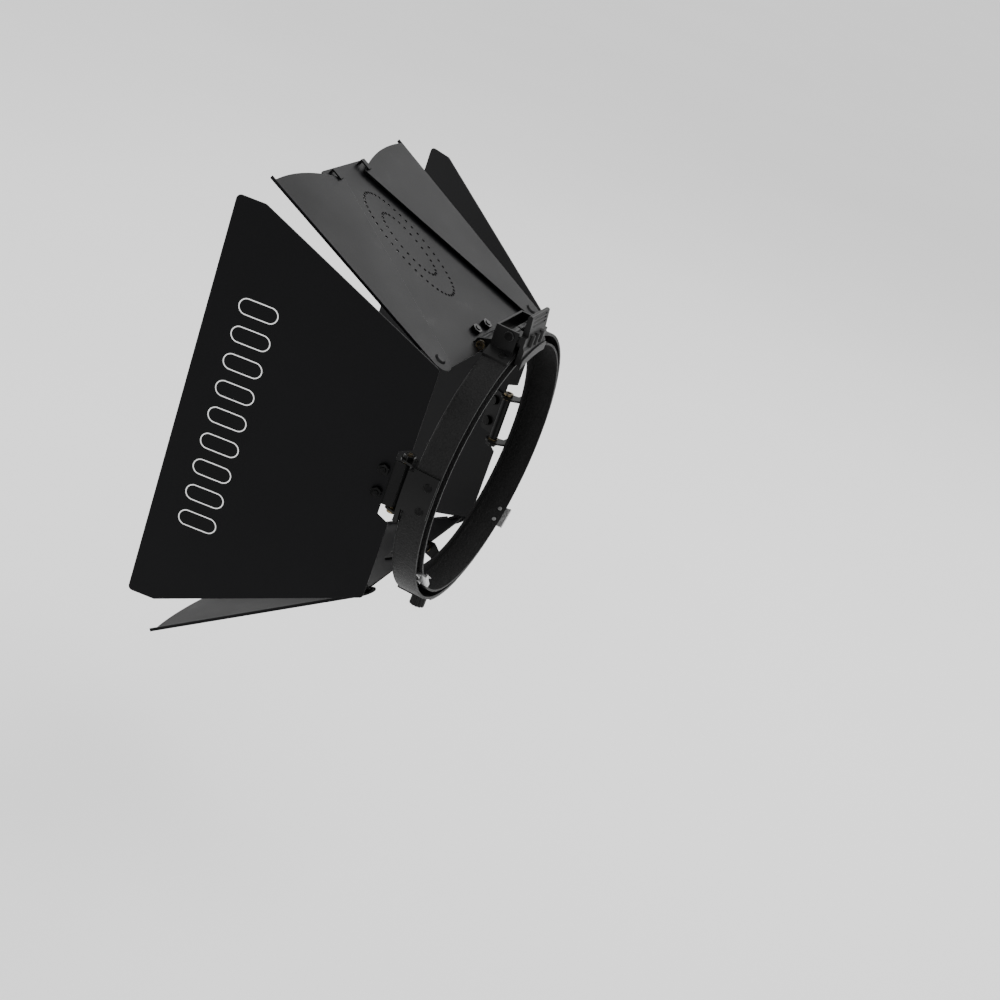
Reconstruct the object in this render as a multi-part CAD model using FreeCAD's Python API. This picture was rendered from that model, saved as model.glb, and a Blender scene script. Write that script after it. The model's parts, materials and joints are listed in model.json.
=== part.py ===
"""Eight-leaf barn door attachment for a round-barrelled stage light.

Row frame, millimetres: +Z up, the doors face -Y, +X is the light's left.  The
origin is the centre of the bore that takes the light's barrel, on the plane
where the barrel enters the ring.

Each hinge is drawn at the top of the ring and clocked round the Y axis.  A
door is drawn in its hinge frame: X along the hinge pin, Y from the pin towards
the door's outer edge, Z out of the door's outer face.
"""
import FreeCAD, Part
import math
import os

V = FreeCAD.Vector
SHEET = 0.8                  # door and wing sheet
PLATE = 1.2                  # ring, bracket and leaf sheet

# Ring: an outer band with a front lip, and an inner collar on the barrel.
barrel_r = 72.0
barrel_depth = 14.6          # from the entry plane to the lip that stops the barrel
band_gap = 3.7               # radial gap between collar and band
band_wall = 1.5
band_rear_y = -1.3
lip_height = 6.0             # lip's inner edge inside the barrel's wall
lip_bend_r = 1.6
collar_rivet_count = 8
collar_rivet_r = 1.2

# Door hinges.
pin_front = 24.0             # hinge pin ahead of the entry plane
pin_inset = 5.4              # hinge pin inside the barrel's wall
pin_r = 1.5
ear_gap = 13.4               # half the clear width between a bracket's ears
ear_round = 3.8
tongue_reach = 18.4
side_pad = (-16.6, 6.4)      # along the pin, where a side bracket sits on the band
knuckle_r = 2.4
knuckle_end_gap = 0.8
leaf_reach = 14.0
running = 0.05               # radial clearance of a turning fit
nut_flats = 5.5
nut_height = 2.4
head_r = 2.75
head_height = 1.8
screw_pitch = 13.2           # between the two screws of a leaf

# Opening angles from the optical axis, as assembled.
opening = {"top": 26.3, "bottom": 34.3, "left": 11.7, "right": 23.3}
clock = {"top": 0.0, "left": 90.0, "bottom": 180.0, "right": 270.0}
wing_swing = {"top": 0.0, "bottom": 7.0}   # extra outward swing of the wings

# Side doors: one trapezoid sheet, offset outwards so that they close last.
side_lift = 3.7              # sheet mid-plane above the hinge pin
side_base_y = -0.75
side_base_half = 66.5
side_slant_len = 105.1
side_length = 120.1
side_outer_half = 113.7
side_screw_y = 9.95
side_relief = ((21.5, 0.0), (18.4, 6.6))

# Top and bottom doors: a tapered panel and two fan wings on rivets.
fan_lift = -1.9
fan_base_y = -2.3
fan_length = 122.2
fan_outer_half = 24.6
fan_screw_y = 8.4
fan_relief = ((17.6, 0.0), (17.6, 6.4))
wing_rivet_half = 60.5       # rivet from the door's centre line
wing_rivet_r = 2.0
corner_r = 6.05              # round corner about each wing rivet
wing_root_r = 7.4
wing_radius = 118.8
wing_outer_deg = 5.7
wing_inner_deg = -24.3
wing_gap = (0.4, 1.7)        # under the lower wing and under the upper wing
wing_flange = 1.0
wing_flange_over = 2.5       # flange end past the wing's arc
hook_half = 15.6             # hook from the door's centre line
hook_width = 3.6
hook_length = 6.8
hook_inset = 1.4             # hook from the panel's outer edge
hook_clear = 0.4

# Dotted outline punched through the top panel.
dot_r = 0.9
dot_pitch = 3.6
dot_rings = ((16.0, 35.0), (9.0, 21.0))
dot_centre_y = 66.0

# Latch on top of the ring.
latch_x = (-5.4, 28.3)       # outer faces of the latch ears
latch_rise = 6.2             # latch heights are above the bracket's pad
latch_ear_front = 14.6
latch_ear_rear = 2.9
latch_pin_y = -7.5
latch_pin_rise = 2.7
latch_hub_r = 2.5
latch_block_rise = 4.4
thumb_width = 24.0
thumb_rise = 15.4
thumb_thick = 2.4
groove_count = 3
rib_r = 1.7
claw_grip_r = barrel_r + 0.25
claw_front_y = 2.0
claw_thick = 1.0
claw_drop = 0.8              # below the band's outside
spring_turns = 6
spring_pitch = 1.7
spring_r = 2.2
spring_wire_r = 0.35

# Barrel lock under the ring.
lock_turn = 6.6              # from the bottom of the ring, to the light's left
lock_y = -11.4
lock_half = 10.8
lock_front = 22.6
lock_rear = 6.6
lock_face_rise = 1.6         # above the bracket's pad
lock_screw_r = 2.0
lock_knob_r = 4.3
lock_knob_gap = 0.6
lock_knob_height = 7.6
bottom_pad_end = 21.0        # the bottom pad runs on under the lock
lock_pad_r = 2.4
lock_pad_rise = 2.4          # above the collar's outside
lock_tip_r = 1.2
lock_tip_depth = 1.6

# Fixed clips behind the barrel's rim, either side of the lock.
clip_turn = 48.0             # from the bottom of the ring
clip_half = 6.0
clip_front = 6.0
clip_rivet_x = 3.5

# Rivets that hold the hinge brackets to the band.
bracket_rivet_r = 1.6
bracket_rivet_head = 2.4
bracket_rivet_y = -6.0
bracket_rivet_turn = 7.6     # from a hinge, to the side where the pads are longest
side_rivet_turn = 2.2
top_pad_end = 35.6           # the top pad runs on past the latch
top_rivet_turn = 23.8

# Worked out from the sizes above.
collar_r = barrel_r + PLATE
band_in = collar_r + band_gap
band_out = band_in + band_wall
pad_out = band_out + PLATE
lip_r = barrel_r - lip_height
pin_radius = barrel_r - pin_inset
latch_top_z = pad_out + latch_rise
latch_pin_z = pad_out + latch_pin_rise
latch_block_top = pad_out + latch_block_rise
thumb_top_z = pad_out + thumb_rise
claw_top_z = band_out - claw_drop
lock_face = pad_out + lock_face_rise
lock_pad_top = collar_r + lock_pad_rise
front_y = -(barrel_depth + PLATE)
ear_out = ear_gap + PLATE
knuckle_half = ear_gap - knuckle_end_gap
side_in = side_lift - SHEET / 2
side_out = side_lift + SHEET / 2
fan_in = fan_lift - SHEET / 2
fan_out = fan_lift + SHEET / 2
rivet_y = fan_base_y + corner_r
fan_outer_y = fan_base_y + fan_length
PIN = V(0, -pin_front, pin_radius)
FAR = 200.0


# ---- drawing helpers -------------------------------------------------------

def box(x, y, z):
    """Block between two values along each axis."""
    return Part.makeBox(x[1] - x[0], y[1] - y[0], z[1] - z[0], V(x[0], y[0], z[0]))


def rod(radius, start, end):
    """Cylinder from one point to another."""
    return Part.makeCylinder(radius, (end - start).Length, start, end - start)


def tube(outer, inner, start, end):
    """Pipe from one point to another."""
    return rod(outer, start, end).cut(rod(inner, start, end))


def hexagon(flats, start, end, bore=0.0):
    """Hexagon bar from one point to another, with an optional bore."""
    corner = flats / math.sqrt(3)
    ring = [V(corner * math.cos(math.radians(60 * i)), corner * math.sin(math.radians(60 * i)), 0)
            for i in range(7)]
    length = (end - start).Length
    bar = Part.Face(Part.makePolygon(ring)).extrude(V(0, 0, length))
    if bore:
        bar = bar.cut(Part.makeCylinder(bore, length))
    return moved(bar, FreeCAD.Placement(start, FreeCAD.Rotation(V(0, 0, 1), end - start)))


def outline(points, radii):
    """Flat face with a round of the given radius at each corner."""
    arcs = []
    for i, corner in enumerate(points):
        p = V(corner[0], corner[1], 0)
        before = V(points[i - 1][0], points[i - 1][1], 0) - p
        after = V(points[(i + 1) % len(points)][0], points[(i + 1) % len(points)][1], 0) - p
        half = before.getAngle(after) / 2
        before.normalize()
        after.normalize()
        reach = radii[i] / math.tan(half)
        inward = (before + after).normalize()
        centre = p + inward * (radii[i] / math.sin(half))
        arcs.append((p + before * reach, centre - inward * radii[i], p + after * reach))
    edges = []
    for i, (start, middle, end) in enumerate(arcs):
        if radii[i]:
            edges.append(Part.Arc(start, middle, end).toShape())
        following = arcs[(i + 1) % len(arcs)][0]
        if (following - end).Length > 1e-6:
            edges.append(Part.LineSegment(end, following).toShape())
    return Part.Face(Part.Wire(edges))


def slab(face, z):
    """Face in the XY plane raised to a slab between two heights."""
    body = face.extrude(V(0, 0, z[1] - z[0]))
    body.translate(V(0, 0, z[0]))
    return body


def side_profile(points, radii, x):
    """Outline drawn as (y, z) and given a width along X."""
    body = outline(points, radii).extrude(V(0, 0, x[1] - x[0]))
    turn = FreeCAD.Rotation(V(0, 1, 0), V(0, 0, 1), V(1, 0, 0), "XYZ")
    return moved(body, FreeCAD.Placement(V(x[0], 0, 0), turn))


def sleeve(inner, outer, y):
    """Tube about the optical axis."""
    return tube(outer, inner, V(0, y[0], 0), V(0, y[1], 0))


def moved(body, placement):
    """Copy of a shape under a placement."""
    copy = body.copy()
    copy.Placement = placement.multiply(copy.Placement)
    return copy


def turned(body, degrees):
    """Shape turned about the optical axis."""
    return moved(body, FreeCAD.Placement(V(), FreeCAD.Rotation(V(0, 1, 0), degrees)))


def clocked(body, place):
    """Shape drawn at the top of the ring, moved round to one of the four places."""
    return turned(body, clock[place])


def at_lock(body):
    """Shape drawn at the top of the ring, moved to the barrel lock."""
    return turned(body, clock["bottom"] - lock_turn)


def hung(body, place):
    """Shape drawn in a hinge frame, hung on its pin at the door's opening angle."""
    flip = FreeCAD.Rotation(V(0, 0, 1), 180)
    swing = FreeCAD.Rotation(V(1, 0, 0), -opening[place])
    return clocked(moved(body, FreeCAD.Placement(PIN, swing.multiply(flip))), place)


def merged(bodies):
    """One solid from several that share faces."""
    whole = bodies[0].fuse(bodies[1:])
    return whole.removeSplitter()


def group(bodies):
    """Separate solids kept together as one node."""
    return Part.makeCompound(bodies)


def save(name, body):
    """Write one node."""
    for solid in body.Solids:
        if not solid.isValid() or solid.Volume <= 0:
            raise ValueError(name + " has a bad solid")
    body.exportStep("parts/" + name + ".step")
    print(name, len(body.Solids), round(body.Volume, 1))


# ---- ring ------------------------------------------------------------------

def radial_hole(radius, y):
    """Cutter along +Z from inside the ring outwards, at the top of the ring."""
    return rod(radius, V(0, y, lip_r - 10), V(0, y, FAR))


def ring_band():
    """Outer band with its front lip, drilled for the lock and the collar rivets."""
    lip_y = -barrel_depth
    profile = [(lip_r, front_y), (band_out, front_y), (band_out, band_rear_y),
               (band_in, band_rear_y), (band_in, lip_y), (lip_r, lip_y)]
    face = outline(profile, [0, lip_bend_r, 0, 0, 0, 0])
    body = face.revolve(V(), V(0, 1, 0), 360)
    lock = at_lock(radial_hole(lock_screw_r + 0.3, lock_y))
    return body.cut([lock] + collar_rivet_rods(front_y - 1, 0) + bracket_rivet_rods(FAR))


def collar_rivet_line(index):
    """Place of one collar rivet, on the circle midway across the gap."""
    angle = math.radians(360.0 * (index + 0.5) / collar_rivet_count)
    radius = (collar_r + band_in) / 2
    return V(radius * math.cos(angle), 0, radius * math.sin(angle))


def collar_rivet_rods(start_y, end_y):
    """Shanks of the rivets that hold the collar to the lip."""
    feet = [collar_rivet_line(index) for index in range(collar_rivet_count)]
    return [rod(collar_rivet_r, foot + V(0, start_y, 0), foot + V(0, end_y, 0)) for foot in feet]


def inner_collar():
    """Sleeve on the barrel, with an outward flange against the lip."""
    rear_y = -barrel_depth
    flange = sleeve(barrel_r, band_in - 0.3, (rear_y, rear_y + PLATE))
    body = merged([sleeve(barrel_r, collar_r, (rear_y, 0)), flange])
    pad_hole = at_lock(radial_hole(lock_pad_r + running, lock_y))
    clip_holes = [turned(cutter, turn) for turn in clip_turns() for cutter in clip_rivet_rods(FAR)]
    return body.cut([pad_hole] + clip_holes + collar_rivet_rods(front_y - 1, 0))


def collar_rivets():
    """Rivets with a flat head on each side."""
    rivets = []
    for index in range(collar_rivet_count):
        foot = collar_rivet_line(index)
        outer = V(foot.x, front_y, foot.z)
        inner = V(foot.x, -barrel_depth + PLATE, foot.z)
        cap = V(0, 0.6, 0)
        shank = rod(collar_rivet_r, outer - cap, inner + cap)
        rivets.append(merged([shank, rod(1.6, outer - cap, outer), rod(1.6, inner, inner + cap)]))
    return group(rivets)


def base_pad(x):
    """Curved pad on the band between two values along the pin, and the web ahead of it."""
    hug = sleeve(band_out, pad_out, (-tongue_reach, band_rear_y - 0.3))
    pad = hug.common(box(x, (front_y, band_rear_y), (0, pad_out + 1)))
    web = hug.common(box((-ear_out, ear_out), (-tongue_reach, front_y), (0, pad_out + 1)))
    return [pad, web]


def hinge_ears():
    """The two ears that carry the hinge pin, ahead of the band."""
    start = front_y - 0.4
    low = pin_radius - ear_round
    front = -pin_front - ear_round
    shape = [(start, pad_out), (start, pin_radius), (-pin_front + ear_round, low), (front, low),
             (front, pin_radius + 2.6), (-19.2, barrel_r), (-tongue_reach, pad_out)]
    rounds = [0, 1.0, 0.5, ear_round - 0.9, 2.4, 1.0, 0]
    keep = rod(pad_out, V(0, -FAR, 0), V(0, 0, 0))
    ears = []
    for x in ((ear_gap, ear_out), (-ear_out, -ear_gap)):
        ears.append(side_profile(shape, rounds, x).common(keep))
    return ears


def hinge_bracket(x=side_pad, turns=(-bracket_rivet_turn, side_rivet_turn), extra=()):
    """Pad, web and ears of a door hinge, at the top of the ring."""
    body = merged(base_pad(x) + hinge_ears() + list(extra))
    hole = rod(pin_r, PIN - V(ear_out + 1, 0, 0), PIN + V(ear_out + 1, 0, 0))
    return body.cut([hole] + [turned(bracket_rivet_rod(FAR), turn) for turn in turns])


def bracket_rivet_rod(top):
    """Shank of one bracket rivet, at the top of the ring."""
    return rod(bracket_rivet_r, V(0, bracket_rivet_y, lip_r), V(0, bracket_rivet_y, top))


def bracket_rivet_turns():
    """Turn of every bracket rivet from the top of the ring."""
    turns = [-bracket_rivet_turn, top_rivet_turn, clock["bottom"] + bracket_rivet_turn]
    for place in ("left", "right"):
        turns += [clock[place] - bracket_rivet_turn, clock[place] + side_rivet_turn]
    return turns


def bracket_rivet_rods(top):
    """Shanks of every bracket rivet."""
    return [turned(bracket_rivet_rod(top), turn) for turn in bracket_rivet_turns()]


def bracket_rivets():
    """Domed rivets through the brackets' pads and the band."""
    inside = rod(band_in, V(0, -FAR, 0), V(0, FAR, 0))
    hug = rod(pad_out, V(0, -FAR, 0), V(0, FAR, 0))
    foot = V(0, bracket_rivet_y, pad_out)
    cap = Part.makeCone(bracket_rivet_head, bracket_rivet_head - 0.6, 0.6, foot)
    base = rod(bracket_rivet_head, foot - V(0, 0, 1), foot).cut(hug)
    rivet = merged([bracket_rivet_rod(pad_out), cap, base]).cut(inside)
    return group([turned(rivet, turn) for turn in bracket_rivet_turns()])


def latch_housing():
    """Two tall ears and the front wall that carry the latch, on the wide pad."""
    low, high = latch_x
    walls = []
    for x in ((low, low + PLATE), (high - PLATE, high)):
        shape = [(-latch_ear_front, 60), (-latch_ear_rear, 60),
                 (-latch_ear_rear, latch_top_z), (-latch_ear_front, latch_top_z)]
        walls.append(side_profile(shape, [0, 0, 1.2, 0], x))
    walls.append(box(latch_x, (front_y, front_y + PLATE), (60, latch_top_z)))
    core = rod(band_out, V(0, -FAR, 0), V(0, FAR, 0))
    return [wall.cut(core) for wall in walls]


def top_bracket():
    """Hinge bracket and latch housing in one bent part."""
    turns = (-bracket_rivet_turn, top_rivet_turn)
    body = hinge_bracket((-ear_out, top_pad_end), turns, latch_housing())
    pivot = rod(pin_r, V(latch_x[0] - 1, latch_pin_y, latch_pin_z),
                V(latch_x[1] + 1, latch_pin_y, latch_pin_z))
    return body.cut(pivot)


def bottom_bracket():
    """Hinge bracket drilled for the barrel lock."""
    body = clocked(hinge_bracket((-bottom_pad_end, ear_out), (bracket_rivet_turn,)), "bottom")
    return body.cut(at_lock(radial_hole(lock_screw_r + 0.3, lock_y)))


def hinge_pin():
    """Screw with a domed head, through both ears."""
    head = rod(head_r, PIN + V(ear_out, 0, 0), PIN + V(ear_out + head_height, 0, 0))
    shank = rod(pin_r, PIN - V(ear_out + nut_height + 0.6, 0, 0), PIN + V(ear_out, 0, 0))
    socket = hexagon(2.5, PIN + V(ear_out + 0.6, 0, 0), PIN + V(ear_out + head_height + 1, 0, 0))
    return merged([head, shank]).cut(socket)


def hinge_nut():
    """Nut on the end of a hinge pin."""
    end = PIN - V(ear_out, 0, 0)
    return hexagon(nut_flats, end - V(nut_height, 0, 0), end, pin_r)


def hinge_washers():
    """The two friction washers at the ends of one knuckle."""
    washers = []
    for side in (-1, 1):
        near = PIN + V(side * (knuckle_half + 0.1), 0, 0)
        far = PIN + V(side * (ear_gap - 0.1), 0, 0)
        washers.append(tube(knuckle_r + 0.3, pin_r + running, near, far))
    return washers


# ---- latch -----------------------------------------------------------------

def latch_pin():
    """Headed pivot through both latch ears."""
    low = V(latch_x[0], latch_pin_y, latch_pin_z)
    high = V(latch_x[1], latch_pin_y, latch_pin_z)
    cap = V(0.9, 0, 0)
    return merged([rod(pin_r, low - cap, high + cap), rod(2.6, low - cap, low), rod(2.6, high, high + cap)])


def latch_spring():
    """Torsion coil round the latch pivot."""
    length = spring_turns * spring_pitch
    path = Part.Wire(Part.makeHelix(spring_pitch, length, spring_r).Edges)
    start = path.Edges[0].valueAt(path.Edges[0].FirstParameter)
    along = path.Edges[0].tangentAt(path.Edges[0].FirstParameter)
    ring = Part.Wire(Part.makeCircle(spring_wire_r, start, along))
    coil = path.makePipeShell([ring], True, True)
    middle = (latch_x[0] + latch_x[1]) / 2
    place = FreeCAD.Placement(V(middle - length / 2, latch_pin_y, latch_pin_z),
                              FreeCAD.Rotation(V(0, 0, 1), V(1, 0, 0)))
    return moved(coil, place)


def latch_lever():
    """Moulded lever: two hubs, a rear block behind the band and a grooved thumb tab."""
    low = latch_x[0] + PLATE + 0.4
    high = latch_x[1] - PLATE - 0.4
    middle = (latch_x[0] + latch_x[1]) / 2
    pivot = V(0, latch_pin_y, latch_pin_z)
    coil_half = spring_turns * spring_pitch / 2 + 1.2
    parts = []
    for x in ((low, middle - coil_half), (middle + coil_half, high)):
        parts.append(rod(latch_hub_r, pivot + V(x[0], 0, 0), pivot + V(x[1], 0, 0)))
        parts.append(box(x, (latch_pin_y, 0), (latch_pin_z - latch_hub_r + 0.6, latch_block_top)))
    clear = rod(collar_r + 1.0, V(0, -FAR, 0), V(0, FAR, 0))
    block = [(-0.8, 60), (claw_front_y, 60), (claw_front_y, claw_top_z), (0.9, claw_top_z + 1.4),
             (0.9, latch_block_top), (-0.8, latch_block_top)]
    parts.append(side_profile(block, [0, 0, 1.0, 0.8, 0, 0], (low, high)).cut(clear))
    thumb = (middle - thumb_width / 2, middle + thumb_width / 2)
    tab = [(-2.8, latch_block_top - 1), (0.9, latch_block_top - 1), (-0.3, thumb_top_z),
           (-0.3 - thumb_thick, thumb_top_z), (-0.3 - thumb_thick, latch_block_top + 3)]
    tab_body = side_profile(tab, [0, 0, 1.0, 1.0, 3.0], thumb)
    for index in range(groove_count):
        height = latch_block_top + 5.2 + 2.1 * index
        face_y = 0.9 - 1.2 * (height - latch_block_top + 1) / (thumb_top_z - latch_block_top + 1)
        start = V(thumb[0] + 3.0, face_y + 0.05, height)
        tab_body = tab_body.cut(rod(0.6, start, start + V(thumb_width - 6.0, 0, 0)))
    parts.append(tab_body)
    for index in (-1, 0, 1):
        foot = V(middle + 6.5 * index, 0.9, claw_top_z + 0.6)
        parts.append(rod(rib_r, foot, foot + V(0, 0, latch_block_top - claw_top_z)))
    return merged(parts).cut(rod(pin_r + running, pivot + V(low - 1, 0, 0), pivot + V(high + 1, 0, 0)))


def latch_claw():
    """Curved steel plate on the lever that grips behind the barrel's rim."""
    low = latch_x[0] + PLATE + 0.4
    high = latch_x[1] - PLATE - 0.4
    plate = sleeve(claw_grip_r, claw_top_z - 0.8, (claw_front_y, claw_front_y + claw_thick))
    return plate.common(box((low, high), (0, 10), (0, FAR)))


# ---- barrel lock -----------------------------------------------------------

def lock_block():
    """Block under the bottom bracket that guides the lock screw."""
    block = box((-lock_half, lock_half), (-lock_front, -lock_rear), (60, lock_face))
    block = block.makeFillet(1.5, [edge for edge in block.Edges if abs(edge.tangentAt(0).z) > 0.9])
    block = block.cut(rod(pad_out, V(0, -FAR, 0), V(0, 0, 0)))
    return block.cut(radial_hole(lock_screw_r + running, lock_y))


def lock_screw():
    """Thumb screw with a ribbed knob and a reduced tip."""
    foot = V(0, lock_y, lock_pad_top + 0.1)
    tip = V(0, lock_y, lock_pad_top - lock_tip_depth)
    knob_foot = V(0, lock_y, lock_face + lock_knob_gap)
    knob_end = knob_foot + V(0, 0, lock_knob_height)
    knob = rod(lock_knob_r, knob_foot, knob_end)
    for index in range(12):
        angle = math.radians(30 * index)
        rib = V(lock_knob_r * math.cos(angle), lock_knob_r * math.sin(angle), 1.2)
        knob = knob.cut(rod(0.5, knob_foot + rib, knob_end + rib))
    return merged([rod(lock_screw_r, foot, knob_foot), rod(lock_tip_r, tip, foot), knob])


def lock_pad():
    """Nylon pad on the screw's tip that bears on the barrel."""
    end = V(0, lock_y, lock_pad_top)
    pad = rod(lock_pad_r, V(0, lock_y, barrel_r - 2), end)
    pad = pad.cut(rod(barrel_r + 0.3, V(0, -FAR, 0), V(0, FAR, 0)))
    return pad.cut(rod(lock_tip_r + running, end - V(0, 0, lock_tip_depth + 0.1), end))


def clip_turns():
    """Turns of the two rear clips from the top of the ring."""
    return (clock["bottom"] - clip_turn, clock["bottom"] + clip_turn)


def rear_clip():
    """Fixed hook riveted to the outside of the collar, at the top of the ring."""
    rear = claw_front_y + claw_thick
    keep = box((-clip_half, clip_half), (-clip_front, rear), (0, FAR))
    blade = sleeve(collar_r, collar_r + PLATE, (-clip_front, rear))
    lip = sleeve(claw_grip_r, collar_r + PLATE, (claw_front_y, rear))
    return merged([blade.common(keep), lip.common(keep)]).cut(clip_rivet_rods(FAR))


def clip_rivet_rods(top):
    """Shanks of the two rivets of a rear clip."""
    return [rod(1.2, V(x, -clip_front / 2, barrel_r - 1), V(x, -clip_front / 2, top))
            for x in (-clip_rivet_x, clip_rivet_x)]


def clip_rivets():
    """Rivets flush with the bore, with a head outside."""
    inside = rod(barrel_r + 0.1, V(0, -FAR, 0), V(0, FAR, 0))
    under = rod(collar_r + PLATE, V(0, -FAR, 0), V(0, FAR, 0))
    top = collar_r + PLATE + 0.9
    rivets = []
    for x in (-clip_rivet_x, clip_rivet_x):
        head = rod(2.2, V(x, -clip_front / 2, collar_r - 1), V(x, -clip_front / 2, top)).cut(under)
        shank = rod(1.2, V(x, -clip_front / 2, barrel_r - 1), V(x, -clip_front / 2, top))
        rivets.append(merged([shank, head]).cut(inside))
    return rivets


# ---- doors -----------------------------------------------------------------

def relief_points(relief, base_y, side):
    """Corners of the hinge cut-out on one side of the centre line."""
    return [(side * x, base_y + y) for x, y in relief]


def screw_spots(screw_y):
    """Centres of the two leaf screws."""
    return [(-screw_pitch / 2, screw_y), (screw_pitch / 2, screw_y)]


def screw_holes(screw_y):
    """Cutters for the two leaf screws."""
    return [rod(pin_r, V(x, y, -20), V(x, y, 20)) for x, y in screw_spots(screw_y)]


def side_panel():
    """Trapezoid sheet with a squared outer strip and a hinge cut-out."""
    base = side_base_y
    left = [(-side_outer_half, base + side_length), (-side_outer_half, base + side_slant_len),
            (-side_base_half, base)]
    left += relief_points(side_relief, base, -1)
    right = [(-x, y) for x, y in reversed(left)]
    rounds = [2.5, 2.0, 2.5, 0.8, 0.8]
    face = outline(left + right, rounds + rounds[::-1])
    return slab(face, (side_in, side_out)).cut(screw_holes(side_screw_y))


def hook(side, level):
    """Hook on the panel near an outer corner, over a wing's edge."""
    x = (side * hook_half - hook_width / 2, side * hook_half + hook_width / 2)
    end = fan_outer_y - hook_inset
    under = fan_out + wing_gap[level] + SHEET + hook_clear
    post = box(x, (end - SHEET, end), (fan_in, under + SHEET))
    arm = box(x, (end - hook_length, end), (under, under + SHEET))
    return [post, arm]


def fan_panel(dots):
    """Tapered panel with two corner hooks, rivet holes and an optional dotted outline."""
    base_half = wing_rivet_half + corner_r
    outline_half = [(-fan_outer_half, fan_outer_y), (-base_half, fan_base_y)]
    outline_half += relief_points(fan_relief, fan_base_y, -1)
    mirrored = [(-x, y) for x, y in reversed(outline_half)]
    rounds = [1.5, corner_r - 0.05, 0.8, 0.8]
    face = outline(outline_half + mirrored, rounds + rounds[::-1])
    body = merged([slab(face, (fan_in, fan_out))] + hook(-1, 0) + hook(1, 1))
    cutters = screw_holes(fan_screw_y)
    cutters += [rod(wing_rivet_r, V(x, rivet_y, -20), V(x, rivet_y, 20))
                for x in (-wing_rivet_half, wing_rivet_half)]
    if dots:
        cutters += [rod(dot_r, V(x, y, -20), V(x, y, 0)) for x, y in dot_places()]
    return body.cut(cutters)


def dot_places():
    """Nested ovals of dots."""
    places = []
    for half_width, half_length in dot_rings:
        count = round(2 * math.pi * math.hypot(half_width, half_length) / math.sqrt(2) / dot_pitch)
        for index in range(count):
            angle = 2 * math.pi * index / count
            places.append((half_width * math.sin(angle), dot_centre_y + half_length * math.cos(angle)))
    return places


def leaf(low, screw_y):
    """Door leaf: a rolled knuckle on the pin and a plate at the given height."""
    plate = slab(outline([(-knuckle_half, 0), (-knuckle_half, leaf_reach), (knuckle_half, leaf_reach),
                          (knuckle_half, 0)], [0, 2.0, 2.0, 0]), (low, low + PLATE))
    roll = rod(knuckle_r, V(-knuckle_half, 0, 0), V(knuckle_half, 0, 0))
    bore = rod(pin_r + running, V(-knuckle_half - 1, 0, 0), V(knuckle_half + 1, 0, 0))
    return merged([plate, roll]).cut([bore] + screw_holes(screw_y))


def leaf_screws(under, over, screw_y):
    """Two pan-head screws from the inner face, ending just past their nuts."""
    screws = []
    for x, y in screw_spots(screw_y):
        head = rod(head_r, V(x, y, under - head_height), V(x, y, under))
        shank = rod(pin_r, V(x, y, under - head_height), V(x, y, over + nut_height + 0.5))
        screws.append(merged([head, shank]))
    return group(screws)


def leaf_nuts(over, screw_y):
    """The two nuts on the outer face."""
    return group([hexagon(nut_flats, V(x, y, over), V(x, y, over + nut_height), pin_r)
                  for x, y in screw_spots(screw_y)])


def wing_point(side, swing, radius, degrees):
    """Point at a distance and an outward angle from a wing's rivet."""
    angle = math.radians(degrees + swing)
    return V(side * (wing_rivet_half + radius * math.sin(angle)), rivet_y + radius * math.cos(angle), 0)


def wing(side, level, swing):
    """Fan-shaped wing with a round root on its rivet and a bent outer flange."""
    tangent = math.degrees(math.acos(wing_root_r / wing_radius))
    middle = (wing_outer_deg + wing_inner_deg) / 2
    root_out = wing_point(side, swing, wing_root_r, wing_outer_deg + tangent)
    root_in = wing_point(side, swing, wing_root_r, wing_inner_deg - tangent)
    root_back = wing_point(side, swing, wing_root_r, middle + 180)
    tip_out = wing_point(side, swing, wing_radius, wing_outer_deg)
    tip_in = wing_point(side, swing, wing_radius, wing_inner_deg)
    crown = wing_point(side, swing, wing_radius, middle)
    face = Part.Face(Part.Wire([
        Part.LineSegment(root_out, tip_out).toShape(), Part.Arc(tip_out, crown, tip_in).toShape(),
        Part.LineSegment(tip_in, root_in).toShape(), Part.Arc(root_in, root_back, root_out).toShape()]))
    low = fan_out + wing_gap[level]
    along = (tip_out - root_out).normalize()
    inward = V(-side * along.y, side * along.x, 0) * SHEET
    first = root_out + along * 9.0
    last = tip_out + along * wing_flange_over
    flange = Part.Face(Part.makePolygon([first, last, last + inward, first + inward, first]))
    body = merged([slab(face, (low, low + SHEET)), slab(flange, (low - wing_flange, low + SHEET))])
    centre = V(side * wing_rivet_half, rivet_y, 0)
    return body.cut(rod(wing_rivet_r + running, centre - V(0, 0, 20), centre + V(0, 0, 20)))


def wing_rivets():
    """Two rivets, each flat under the panel and domed over its wing."""
    rivets = []
    for side, level in ((-1, 0), (1, 1)):
        centre = V(side * wing_rivet_half, rivet_y, 0)
        over = fan_out + wing_gap[level] + SHEET + 0.1
        shank = rod(wing_rivet_r, centre + V(0, 0, fan_in - 0.8), centre + V(0, 0, over))
        foot = rod(3.6, centre + V(0, 0, fan_in - 0.8), centre + V(0, 0, fan_in))
        head = Part.makeCone(3.2, 2.2, 0.8, centre + V(0, 0, over))
        rivets.append(merged([shank, foot, head]))
    return group(rivets)


def wing_spacers():
    """Two tubes that hold the wings at their heights over the panel."""
    spacers = []
    for side, level in ((-1, 0), (1, 1)):
        centre = V(side * wing_rivet_half, rivet_y, 0)
        spacers.append(tube(4.0, wing_rivet_r, centre + V(0, 0, fan_out),
                            centre + V(0, 0, fan_out + wing_gap[level] - 0.1)))
    return group(spacers)


# ---- the nodes -------------------------------------------------------------

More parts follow.
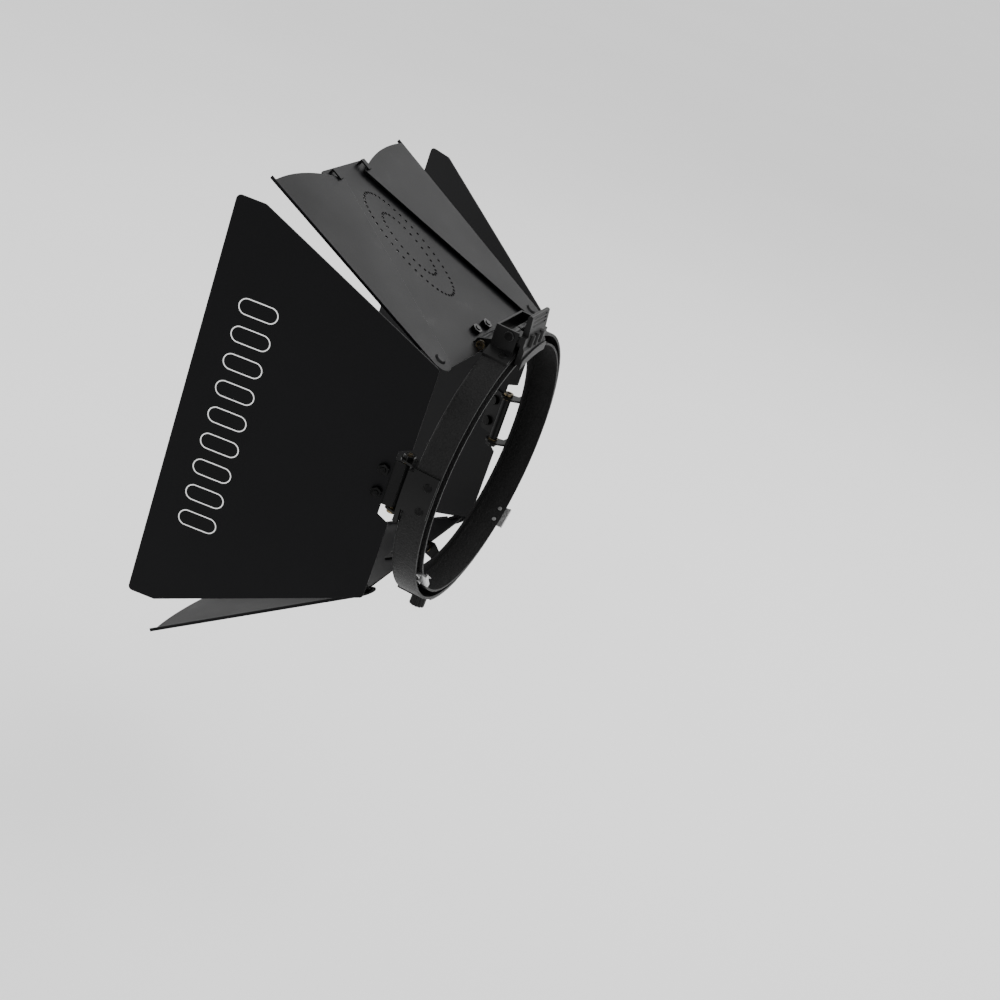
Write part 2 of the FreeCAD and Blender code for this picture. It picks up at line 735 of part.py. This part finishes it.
def save_ring():
    """Everything fixed to the ring."""
    save("ring_band", ring_band())
    save("inner_collar", inner_collar())
    save("collar_rivets", collar_rivets())
    save("top_bracket", top_bracket())
    save("bottom_bracket", bottom_bracket())
    for place in ("left", "right"):
        save(place + "_bracket", clocked(hinge_bracket(), place))
    for place in clock:
        save(place + "_hinge_pin", clocked(hinge_pin(), place))
    save("hinge_nuts", group([clocked(hinge_nut(), place) for place in clock]))
    save("friction_washers", group([clocked(w, place) for place in clock for w in hinge_washers()]))
    save("latch_pin", latch_pin())
    save("latch_spring", latch_spring())
    save("latch_lever", latch_lever())
    save("latch_claw", latch_claw())
    save("lock_block", at_lock(lock_block()))
    save("lock_screw", at_lock(lock_screw()))
    save("lock_pad", at_lock(lock_pad()))
    save("bracket_rivets", bracket_rivets())
    for name, turn in zip(("rear_clip_left", "rear_clip_right"), clip_turns()):
        save(name, turned(rear_clip(), turn))
    save("clip_rivets", group([turned(rivet, turn) for turn in clip_turns() for rivet in clip_rivets()]))


def save_side_door(place):
    """A side door and its leaf."""
    low = side_in - PLATE
    save(place + "_door_panel", hung(side_panel(), place))
    save(place + "_door_leaf", hung(leaf(low, side_screw_y), place))
    save(place + "_leaf_screws", hung(leaf_screws(low, side_out, side_screw_y), place))
    save(place + "_leaf_nuts", hung(leaf_nuts(side_out, side_screw_y), place))


def save_fan_door(place):
    """A top or bottom door with its leaf and its two wings."""
    save(place + "_door_panel", hung(fan_panel(place == "top"), place))
    low = fan_in - PLATE
    save(place + "_door_leaf", hung(leaf(low, fan_screw_y), place))
    save(place + "_leaf_screws", hung(leaf_screws(low, fan_out, fan_screw_y), place))
    save(place + "_leaf_nuts", hung(leaf_nuts(fan_out, fan_screw_y), place))
    save(place + "_wing_rivets", hung(wing_rivets(), place))
    save(place + "_wing_spacers", hung(wing_spacers(), place))
    save(place + "_wing_lower", hung(wing(-1, 0, wing_swing[place]), place))
    save(place + "_wing_upper", hung(wing(1, 1, wing_swing[place]), place))


os.makedirs("parts", exist_ok=True)
save_ring()
for door in ("left", "right"):
    save_side_door(door)
for door in ("top", "bottom"):
    save_fan_door(door)
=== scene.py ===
"""Looks of the eight-leaf barn door attachment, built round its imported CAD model."""

import json
import math

import bpy
from mathutils import Matrix, Vector

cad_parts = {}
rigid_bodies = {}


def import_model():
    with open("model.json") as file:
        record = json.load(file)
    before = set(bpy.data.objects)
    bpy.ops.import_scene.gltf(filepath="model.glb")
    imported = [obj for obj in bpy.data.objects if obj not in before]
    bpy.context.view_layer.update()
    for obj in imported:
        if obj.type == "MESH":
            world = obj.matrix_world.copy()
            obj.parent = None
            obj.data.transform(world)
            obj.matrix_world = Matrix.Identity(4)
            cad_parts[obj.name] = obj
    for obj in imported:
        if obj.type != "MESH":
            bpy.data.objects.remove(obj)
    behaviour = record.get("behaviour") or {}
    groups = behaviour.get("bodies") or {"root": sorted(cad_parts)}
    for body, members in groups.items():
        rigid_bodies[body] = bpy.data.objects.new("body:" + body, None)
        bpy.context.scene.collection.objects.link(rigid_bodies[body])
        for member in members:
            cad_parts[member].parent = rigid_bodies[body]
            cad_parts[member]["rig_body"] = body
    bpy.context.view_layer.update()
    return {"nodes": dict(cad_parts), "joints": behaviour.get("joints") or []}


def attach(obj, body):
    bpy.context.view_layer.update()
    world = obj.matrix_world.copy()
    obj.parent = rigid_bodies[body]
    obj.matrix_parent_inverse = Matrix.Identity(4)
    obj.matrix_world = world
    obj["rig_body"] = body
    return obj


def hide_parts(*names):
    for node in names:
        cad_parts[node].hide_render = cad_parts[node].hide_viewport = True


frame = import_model()
joints = {joint["name"]: joint for joint in frame["joints"]}
MM = 0.001
DOORS = ("left", "right", "top", "bottom")
FAN_DOORS = ("top", "bottom")
WELD = 0.004 * MM            # points nearer than this are one
FLAT_WITHIN = 0.6            # degrees between facets of one flat
SMOOTH_UNDER = 40.0          # degrees; a sharper edge stays sharp


# ---- shader helpers --------------------------------------------------------

def new_material(name, roughness, metallic=0.0, specular=0.5):
    """Material with a Principled surface and Object coordinates."""
    material = bpy.data.materials.new(name)
    material.use_nodes = True
    nodes = material.node_tree.nodes
    shader = nodes["Principled BSDF"]
    shader.inputs["Roughness"].default_value = roughness
    shader.inputs["Metallic"].default_value = metallic
    shader.inputs["Specular IOR Level"].default_value = specular
    place = nodes.new("ShaderNodeTexCoord")
    return material, nodes, material.node_tree.links, shader, place.outputs["Object"]


def noise(nodes, links, place, per_metre, detail=4.0, rough=0.55):
    """Noise pattern of so many cells per metre."""
    node = nodes.new("ShaderNodeTexNoise")
    node.inputs["Scale"].default_value = per_metre
    node.inputs["Detail"].default_value = detail
    node.inputs["Roughness"].default_value = rough
    links.new(place, node.inputs["Vector"])
    return node.outputs["Fac"]


def cells(nodes, links, place, per_metre, feature="F1"):
    """Voronoi pattern of so many cells per metre."""
    node = nodes.new("ShaderNodeTexVoronoi")
    node.feature = feature
    node.inputs["Scale"].default_value = per_metre
    links.new(place, node.inputs["Vector"])
    return node.outputs["Distance"]


def ramp(nodes, links, value, stops):
    """Colour ramp over a value; stops are (position, grey or colour)."""
    node = nodes.new("ShaderNodeValToRGB")
    while len(node.color_ramp.elements) < len(stops):
        node.color_ramp.elements.new(0.5)
    for element, (position, colour) in zip(node.color_ramp.elements, stops):
        if isinstance(colour, float):
            colour = (colour, colour, colour)
        element.position = position
        element.color = (*colour, 1.0)
    links.new(value, node.inputs["Fac"])
    return node.outputs["Color"]


def spread(nodes, links, value, low, high, floor, ceiling):
    """Value mapped from one range to another."""
    node = nodes.new("ShaderNodeMapRange")
    for name, number in (("From Min", low), ("From Max", high), ("To Min", floor), ("To Max", ceiling)):
        node.inputs[name].default_value = number
    links.new(value, node.inputs["Value"])
    return node.outputs["Result"]


def combine(nodes, links, first, second, kind="MULTIPLY"):
    """Two values combined."""
    node = nodes.new("ShaderNodeMath")
    node.operation = kind
    links.new(first, node.inputs[0])
    links.new(second, node.inputs[1])
    return node.outputs["Value"]


def blended(nodes, links, factor, first, second):
    """Two colours mixed by a factor."""
    node = nodes.new("ShaderNodeMix")
    node.data_type = "RGBA"
    links.new(factor, node.inputs["Factor"])
    links.new(first, node.inputs["A"])
    links.new(second, node.inputs["B"])
    return node.outputs["Result"]


def bump(nodes, links, height, strength, depth, shader):
    """Relief of a given depth in metres on the surface."""
    node = nodes.new("ShaderNodeBump")
    node.inputs["Strength"].default_value = strength
    node.inputs["Distance"].default_value = depth
    links.new(height, node.inputs["Height"])
    links.new(node.outputs["Normal"], shader.inputs["Normal"])


# ---- finishes --------------------------------------------------------------

def powder_coat(name, dark, light, roughness, grain_per_metre, grain_depth, specular):
    """Matt black powder coat: fine grain, faint clouding, a few rubbed patches and painted glints."""
    material, nodes, links, shader, place = new_material(name, roughness, specular=specular)
    grain = noise(nodes, links, place, grain_per_metre, 3.0, 0.6)
    cloud = noise(nodes, links, place, 14.0, 3.0)
    glint_and_relief_cells = cells(nodes, links, place, grain_per_metre * 0.7)
    base = ramp(nodes, links, grain, [(0.30, dark), (0.72, light)])
    # painted glints: tiny dots of base colour 2.2 times the coat's light tone at the cell centres,
    # mixed in where the clouding is strong; the same cells also give relief
    painted_glint_colour = tuple(2.2 * part for part in light)
    painted_glint = ramp(nodes, links, glint_and_relief_cells, [(0.0, painted_glint_colour), (0.16, light)])
    paint = blended(nodes, links, spread(nodes, links, cloud, 0.35, 0.7, 0.1, 0.45), base, painted_glint)
    links.new(paint, shader.inputs["Base Color"])
    rub = noise(nodes, links, place, 55.0, 6.0, 0.7)
    cloudy = combine(nodes, links, spread(nodes, links, cloud, 0.3, 0.75, 0.04, -0.05),
                     spread(nodes, links, rub, 0.62, 0.8, 0.0, -0.10), "ADD")
    offset = nodes.new("ShaderNodeMath")
    offset.operation = "ADD"
    offset.inputs[1].default_value = roughness
    links.new(cloudy, offset.inputs[0])
    links.new(offset.outputs["Value"], shader.inputs["Roughness"])
    height = combine(nodes, links, grain, spread(nodes, links, glint_and_relief_cells, 0.0, 0.6, 0.0, 0.6), "ADD")
    bump(nodes, links, height, 0.55, grain_depth, shader)
    return material


def crinkle_coat(name):
    """Wrinkle-finish black paint on the ring."""
    material, nodes, links, shader, place = new_material(name, 0.5, specular=0.14)
    warp = nodes.new("ShaderNodeTexNoise")
    warp.inputs["Scale"].default_value = 800.0
    links.new(place, warp.inputs["Vector"])
    shift = nodes.new("ShaderNodeMix")
    shift.data_type = "VECTOR"
    shift.inputs["Factor"].default_value = 0.0012
    links.new(place, shift.inputs["A"])
    links.new(warp.outputs["Color"], shift.inputs["B"])
    lumps = cells(nodes, links, shift.outputs["Result"], 1100.0, "SMOOTH_F1")
    folds = noise(nodes, links, shift.outputs["Result"], 1500.0, 4.0, 0.6)
    height = combine(nodes, links, spread(nodes, links, lumps, 0.0, 0.7, 1.0, 0.0), folds, "ADD")
    links.new(ramp(nodes, links, folds, [(0.32, 0.001), (0.7, 0.008)]), shader.inputs["Base Color"])
    links.new(spread(nodes, links, folds, 0.3, 0.75, 0.60, 0.40), shader.inputs["Roughness"])
    bump(nodes, links, height, 0.9, 0.00020, shader)
    return material


def edge_wear_and_highlight(name, paint, bare, amount):
    """Paint on a bent or cut edge, rubbed thin to the steel here and there, with a painted highlight:
    the unworn edge paint is lighter than the coat on the faces.
    """
    material, nodes, links, shader, place = new_material(name, 0.42, specular=0.2)
    wear = noise(nodes, links, place, 160.0, 7.0, 0.72)
    patch = noise(nodes, links, place, 24.0, 2.0)
    mask = combine(nodes, links, spread(nodes, links, wear, 0.60 - amount, 0.72 - amount, 0.0, 1.0),
                   spread(nodes, links, patch, 0.42, 0.62, 0.15, 1.0))
    # painted highlight along every bevelled edge: the edge paint runs from its colour to 1.8 times it,
    # lighter than the face coats; the mask lays real bare-steel wear over it
    wear_and_painted_highlight = blended(nodes, links, mask, ramp(nodes, links, wear, [(0.3, paint), (0.7, paint * 1.8)]),
                   ramp(nodes, links, wear, [(0.3, bare * 0.7), (0.7, bare)]))
    links.new(wear_and_painted_highlight, shader.inputs["Base Color"])
    links.new(spread(nodes, links, mask, 0.0, 1.0, 0.0, 0.85), shader.inputs["Metallic"])
    links.new(spread(nodes, links, mask, 0.0, 1.0, 0.44, 0.3), shader.inputs["Roughness"])
    bump(nodes, links, wear, 0.25, 0.00004, shader)
    return material


def machined_steel(name, dark, light, roughness, per_metre=700.0):
    """Plated or oiled steel with fine drawing marks and small stains."""
    material, nodes, links, shader, place = new_material(name, roughness, metallic=1.0)
    marks = noise(nodes, links, place, per_metre, 6.0, 0.7)
    stain = noise(nodes, links, place, 90.0, 4.0)
    shade = combine(nodes, links, marks, stain)
    links.new(ramp(nodes, links, shade, [(0.12, dark), (0.42, light)]), shader.inputs["Base Color"])
    links.new(spread(nodes, links, marks, 0.25, 0.8, roughness - 0.08, roughness + 0.14),
              shader.inputs["Roughness"])
    bump(nodes, links, marks, 0.3, 0.00003, shader)
    return material


def moulded_nylon(name, dark, light, roughness, specular):
    """Moulded plastic with a spark-eroded grain."""
    material, nodes, links, shader, place = new_material(name, roughness, specular=specular)
    grain = cells(nodes, links, place, 2600.0)
    flow = noise(nodes, links, place, 40.0, 3.0)
    links.new(ramp(nodes, links, flow, [(0.3, dark), (0.75, light)]), shader.inputs["Base Color"])
    links.new(spread(nodes, links, flow, 0.3, 0.7, roughness - 0.06, roughness + 0.08),
              shader.inputs["Roughness"])
    bump(nodes, links, grain, 0.4, 0.00005, shader)
    return material


def screen_ink(name):
    """White screen-printed ink, thin enough to show the grain under it."""
    material, nodes, links, shader, place = new_material(name, 0.6)
    thin = noise(nodes, links, place, 1500.0, 4.0, 0.7)
    links.new(ramp(nodes, links, thin, [(0.22, 0.45), (0.5, 0.86)]), shader.inputs["Base Color"])
    bump(nodes, links, thin, 0.3, 0.00002, shader)
    return material


def studio_floor(name):
    """Plain pale floor."""
    material, nodes, links, shader, place = new_material(name, 0.9, specular=0.1)
    soft = noise(nodes, links, place, 3.0, 2.0)
    links.new(ramp(nodes, links, soft, [(0.3, 0.93), (0.7, 0.95)]), shader.inputs["Base Color"])
    return material


door_coat = powder_coat("door_coat", (0.0009, 0.0009, 0.0011), (0.0030, 0.0030, 0.0036),
                        0.46, 1900.0, 0.00003, 0.09)
leaf_coat = powder_coat("leaf_coat", (0.001, 0.001, 0.001), (0.004, 0.004, 0.0042),
                        0.42, 1900.0, 0.00003, 0.12)
bracket_coat = powder_coat("bracket_coat", (0.001, 0.001, 0.001), (0.004, 0.004, 0.004),
                           0.34, 1600.0, 0.00004, 0.15)
ring_coat = crinkle_coat("ring_coat")
# edge finishes on every bevel: real rubbed-through wear plus a painted highlight, the edge paint
# lighter than the faces
door_edge = edge_wear_and_highlight("door_edge", 0.006, 0.22, -0.02)
metal_edge = edge_wear_and_highlight("metal_edge", 0.008, 0.42, 0.03)
ring_edge = edge_wear_and_highlight("ring_edge", 0.007, 0.30, 0.0)
black_oxide = machined_steel("black_oxide", 0.004, 0.016, 0.34)
oxide_edge = edge_wear_and_highlight("oxide_edge", 0.010, 0.40, 0.04)
zinc = machined_steel("zinc", 0.26, 0.60, 0.30)
brass_plate = machined_steel("brass_plate", (0.03, 0.024, 0.016), (0.26, 0.20, 0.11), 0.30)
spring_wire = machined_steel("spring_wire", 0.03, 0.14, 0.3)
black_nylon = moulded_nylon("black_nylon", 0.003, 0.008, 0.42, 0.16)
# painted highlight: a lighter copy of the black nylon, laid only on the eased edges of the lever, claw
# and lock screw
nylon_edge_highlight = moulded_nylon("nylon_edge_highlight", 0.006, 0.016, 0.38, 0.22)
pad_nylon = moulded_nylon("pad_nylon", 0.42, 0.55, 0.5, 0.4)
white_ink = screen_ink("white_ink")


# ---- modelling helpers -----------------------------------------------------

def deselect():
    """Nothing selected, in object mode."""
    if bpy.context.object and bpy.context.object.mode != "OBJECT":
        bpy.ops.object.mode_set(mode="OBJECT")
    bpy.ops.object.select_all(action="DESELECT")


def activate(piece):
    """Only this piece selected and active."""
    deselect()
    piece.select_set(True)
    bpy.context.view_layer.objects.active = piece


def apply_bevel(piece, width, segments, angle, edge_slot):
    """Round the piece's sharp edges."""
    activate(piece)
    bevel = piece.modifiers.new("edge", "BEVEL")
    bevel.width = width
    bevel.segments = segments
    bevel.limit_method = "ANGLE"
    bevel.angle_limit = math.radians(angle)
    bevel.material = edge_slot
    bevel.use_clamp_overlap = True
    bpy.ops.object.modifier_apply(modifier=bevel.name)


def smooth(piece, angle):
    """Shade smooth, keeping edges sharper than the angle."""
    activate(piece)
    bpy.ops.object.shade_smooth_by_angle(angle=math.radians(angle))


def flatten_shading(piece):
    """Let the large flats set the shading, so that eased edges do not bend it."""
    activate(piece)
    weighted = piece.modifiers.new("flats", "WEIGHTED_NORMAL")
    weighted.keep_sharp = True
    weighted.weight = 100
    bpy.ops.object.modifier_apply(modifier=weighted.name)


def clad(piece, *materials):
    """Give a piece its finishes."""
    piece.data.materials.clear()
    for material in materials:
        piece.data.materials.append(material)


def eased(node, width, coat, edge, segments=2, angle=35.0):
    """A CAD node's shape with its edges eased, standing in for the node."""
    source = frame["nodes"][node]
    piece = source.copy()
    piece.data = source.data.copy()
    piece.name = node + "_eased"
    piece.parent = None
    for key in list(piece.keys()):
        del piece[key]
    bpy.context.scene.collection.objects.link(piece)
    activate(piece)
    bpy.ops.object.mode_set(mode="EDIT")
    bpy.ops.mesh.select_all(action="SELECT")
    bpy.ops.mesh.remove_doubles(threshold=WELD)
    bpy.ops.mesh.dissolve_limited(angle_limit=math.radians(FLAT_WITHIN))
    bpy.ops.object.mode_set(mode="OBJECT")
    clad(piece, coat, edge)
    for face in piece.data.polygons:
        face.material_index = 0
    apply_bevel(piece, width, segments, angle, 1)
    smooth(piece, SMOOTH_UNDER)
    flatten_shading(piece)
    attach(piece, source["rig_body"])
    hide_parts(node)
    return piece


def finish_node(node, coat):
    """Carry a CAD node over with a better finish."""
    clad(frame["nodes"][node], coat)


def largest_normal(node):
    """Normal of the largest flat of a CAD node."""
    totals = {}
    for face in frame["nodes"][node].data.polygons:
        key = tuple(round(part, 2) for part in face.normal)
        totals.setdefault(key, [0.0, Vector()])
        totals[key][0] += face.area
        totals[key][1] += face.normal * face.area
    return max(totals.values(), key=lambda item: item[0])[1].normalized()


def door_axes(door):
    """A door's pin, and its directions along the pin, out to its free edge and outward."""
    joint = joints[door + "_hinge"]
    pin = Vector(joint["pos_m"])
    along = Vector(joint["axis"]).normalized()
    outward = largest_normal(door + "_door_panel")
    if outward.dot(Vector((pin.x, 0, pin.z))) < 0:
        outward = -outward
    reach = along.cross(outward)
    if reach.y > 0:
        reach = -reach
    across = reach.cross(outward)
    return pin, across, reach.normalized(), outward


def settle(piece, matrix, name, body, slot, *materials):
    """Put a finished piece's place into its mesh and make it ride on a body."""
    piece.name = name
    piece.data.name = name
    piece.data.transform(matrix @ piece.matrix_world)
    piece.matrix_world = Matrix.Identity(4)
    clad(piece, *materials)
    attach(piece, body)
    return piece


def door_matrix(door, x, y, z):
    """Frame on a door: X along the pin, Y to the free edge, Z outward, in metres."""
    pin, across, reach, outward = door_axes(door)
    axes = Matrix((across, reach, outward)).transposed().to_4x4()
    return Matrix.Translation(pin + across * x + reach * y + outward * z) @ axes


# ---- printed device on the side door ---------------------------------------

PILL_COUNT = 9
PILL_PITCH = 15.2 * MM
PILL_LONG = 21.0 * MM
PILL_WIDE = 9.0 * MM
PILL_LINE = 0.55 * MM
PILL_THICK = 0.04 * MM
PILL_REACH = 93.5 * MM


def printed_pill():
    """Outline of a rounded bar, as a thin raised line."""
    deselect()
    bpy.ops.mesh.primitive_circle_add(vertices=40, radius=PILL_WIDE / 2, fill_type="NGON")
    pill = bpy.context.object
    half = (PILL_LONG - PILL_WIDE) / 2
    for vertex in pill.data.vertices:
        vertex.co.y += half if vertex.co.y > 1e-7 else -half if vertex.co.y < -1e-7 else 0.0
    activate(pill)
    bpy.ops.object.mode_set(mode="EDIT")
    bpy.ops.mesh.select_all(action="SELECT")
    bpy.ops.mesh.inset(thickness=PILL_LINE)
    bpy.ops.mesh.delete(type="FACE")
    bpy.ops.mesh.select_all(action="SELECT")
    bpy.ops.mesh.extrude_region_move(TRANSFORM_OT_translate={"value": (0, 0, PILL_THICK)})
    bpy.ops.mesh.select_all(action="SELECT")
    bpy.ops.mesh.normals_make_consistent(inside=False)
    bpy.ops.object.mode_set(mode="OBJECT")
    return pill


def print_device():
    """Row of plain outlined bars along the left door."""
    pin, across, reach, outward = door_axes("left")
    panel = frame["nodes"]["left_door_panel"].data
    surface = max((vertex.co - pin).dot(outward) for vertex in panel.vertices)
    pattern = printed_pill()
    for index in range(PILL_COUNT):
        x = (index - (PILL_COUNT - 1) / 2) * PILL_PITCH
        copy = pattern.copy()
        copy.data = pattern.data.copy()
        bpy.context.scene.collection.objects.link(copy)
        place = door_matrix("left", x, PILL_REACH, surface)
        settle(copy, place, "printed_bar_%d" % index, "left_door", "door_paint", white_ink)
    bpy.data.objects.remove(pattern)


# ---- the object ------------------------------------------------------------

def dress_doors():
    """Panels, leaves and their fasteners."""
    for door in DOORS:
        eased(door + "_door_panel", 0.22 * MM, door_coat, door_edge)
        eased(door + "_door_leaf", 0.2 * MM, leaf_coat, metal_edge)
        eased(door + "_leaf_screws", 0.25 * MM, black_oxide, black_oxide)
        eased(door + "_leaf_nuts", 0.3 * MM, black_oxide, black_oxide)
    for door in FAN_DOORS:
        eased(door + "_wing_lower", 0.22 * MM, door_coat, door_edge)
        eased(door + "_wing_upper", 0.22 * MM, door_coat, door_edge)
        finish_node(door + "_wing_rivets", door_coat)
        finish_node(door + "_wing_spacers", black_oxide)


def dress_ring():
    """Ring, brackets, pins and rivets."""
    eased("ring_band", 0.3 * MM, ring_coat, ring_edge)
    eased("inner_collar", 0.25 * MM, ring_coat, ring_edge)
    eased("collar_rivets", 0.2 * MM, black_oxide, metal_edge)
    eased("bracket_rivets", 0.2 * MM, black_oxide, metal_edge)
    for door in DOORS:
        eased(door + "_bracket", 0.22 * MM, bracket_coat, metal_edge)
        eased(door + "_hinge_pin", 0.25 * MM, brass_plate, metal_edge)
    eased("hinge_nuts", 0.3 * MM, black_oxide, oxide_edge)
    finish_node("friction_washers", brass_plate)


def dress_latch():
    """Sprung latch on top, lock underneath and the rear clips."""
    eased("latch_lever", 0.35 * MM, black_nylon, nylon_edge_highlight, 3)
    eased("latch_claw", 0.2 * MM, black_nylon, nylon_edge_highlight)
    eased("latch_pin", 0.25 * MM, black_oxide, oxide_edge)
    finish_node("latch_spring", spring_wire)
    eased("lock_block", 0.25 * MM, bracket_coat, metal_edge)
    eased("lock_screw", 0.3 * MM, black_nylon, nylon_edge_highlight)
    finish_node("lock_pad", pad_nylon)
    for side in ("left", "right"):
        eased("rear_clip_" + side, 0.2 * MM, zinc, zinc)
    eased("clip_rivets", 0.2 * MM, zinc, zinc)


# ---- studio ----------------------------------------------------------------

FLOOR_Z = -0.34
CAMERA_PLACE = (0.8735, 0.2396, 0.3953)
CAMERA_RIGHT = (-0.3768, 0.8711, 0.3150)
CAMERA_UP = (-0.2870, -0.4332, 0.8544)
CAMERA_LENS = 66.75


def add_camera():
    """Camera at the reference view."""
    data = bpy.data.cameras.new("camera")
    data.lens = CAMERA_LENS
    data.sensor_width = 36.0
    data.clip_end = 100.0
    camera = bpy.data.objects.new("camera", data)
    bpy.context.scene.collection.objects.link(camera)
    right = Vector(CAMERA_RIGHT).normalized()
    up = Vector(CAMERA_UP)
    back = right.cross(up).normalized()
    turn = Matrix((right, back.cross(right), back)).transposed().to_4x4()
    camera.matrix_world = Matrix.Translation(CAMERA_PLACE) @ turn
    bpy.context.scene.camera = camera


def add_floor():
    """Pale floor well below the held ring."""
    deselect()
    bpy.ops.mesh.primitive_plane_add(size=60.0, location=(0, 0, FLOOR_Z))
    floor = bpy.context.object
    floor.name = "floor"
    clad(floor, studio_floor("floor_paper"))


def add_softbox(name, place, aim, size, power):
    """Square area light aimed at a point."""
    data = bpy.data.lights.new(name, "AREA")
    data.shape = "SQUARE"
    data.size = size
    data.energy = power
    lamp = bpy.data.objects.new(name, data)
    bpy.context.scene.collection.objects.link(lamp)
    toward = Vector(aim) - Vector(place)
    lamp.matrix_world = Matrix.Translation(place) @ toward.to_track_quat("-Z", "Y").to_matrix().to_4x4()


def add_light():
    """Soft light all round and three softboxes."""
    world = bpy.data.worlds.new("studio")
    world.use_nodes = True
    back = world.node_tree.nodes["Background"]
    back.inputs["Color"].default_value = (1.0, 1.0, 1.0, 1.0)
    back.inputs["Strength"].default_value = 1.15
    bpy.context.scene.world = world
    add_softbox("key", (-1.2, 0.3, 1.1), (0, -0.08, 0.05), 0.9, 12.0)
    add_softbox("over", (0.1, 0.5, 1.3), (0, -0.05, 0.05), 0.8, 9.0)
    add_softbox("low_front", (0.5, -1.3, 0.3), (0, -0.1, 0), 0.8, 6.0)


dress_ring()
dress_latch()
dress_doors()
print_device()
add_camera()
add_floor()
add_light()
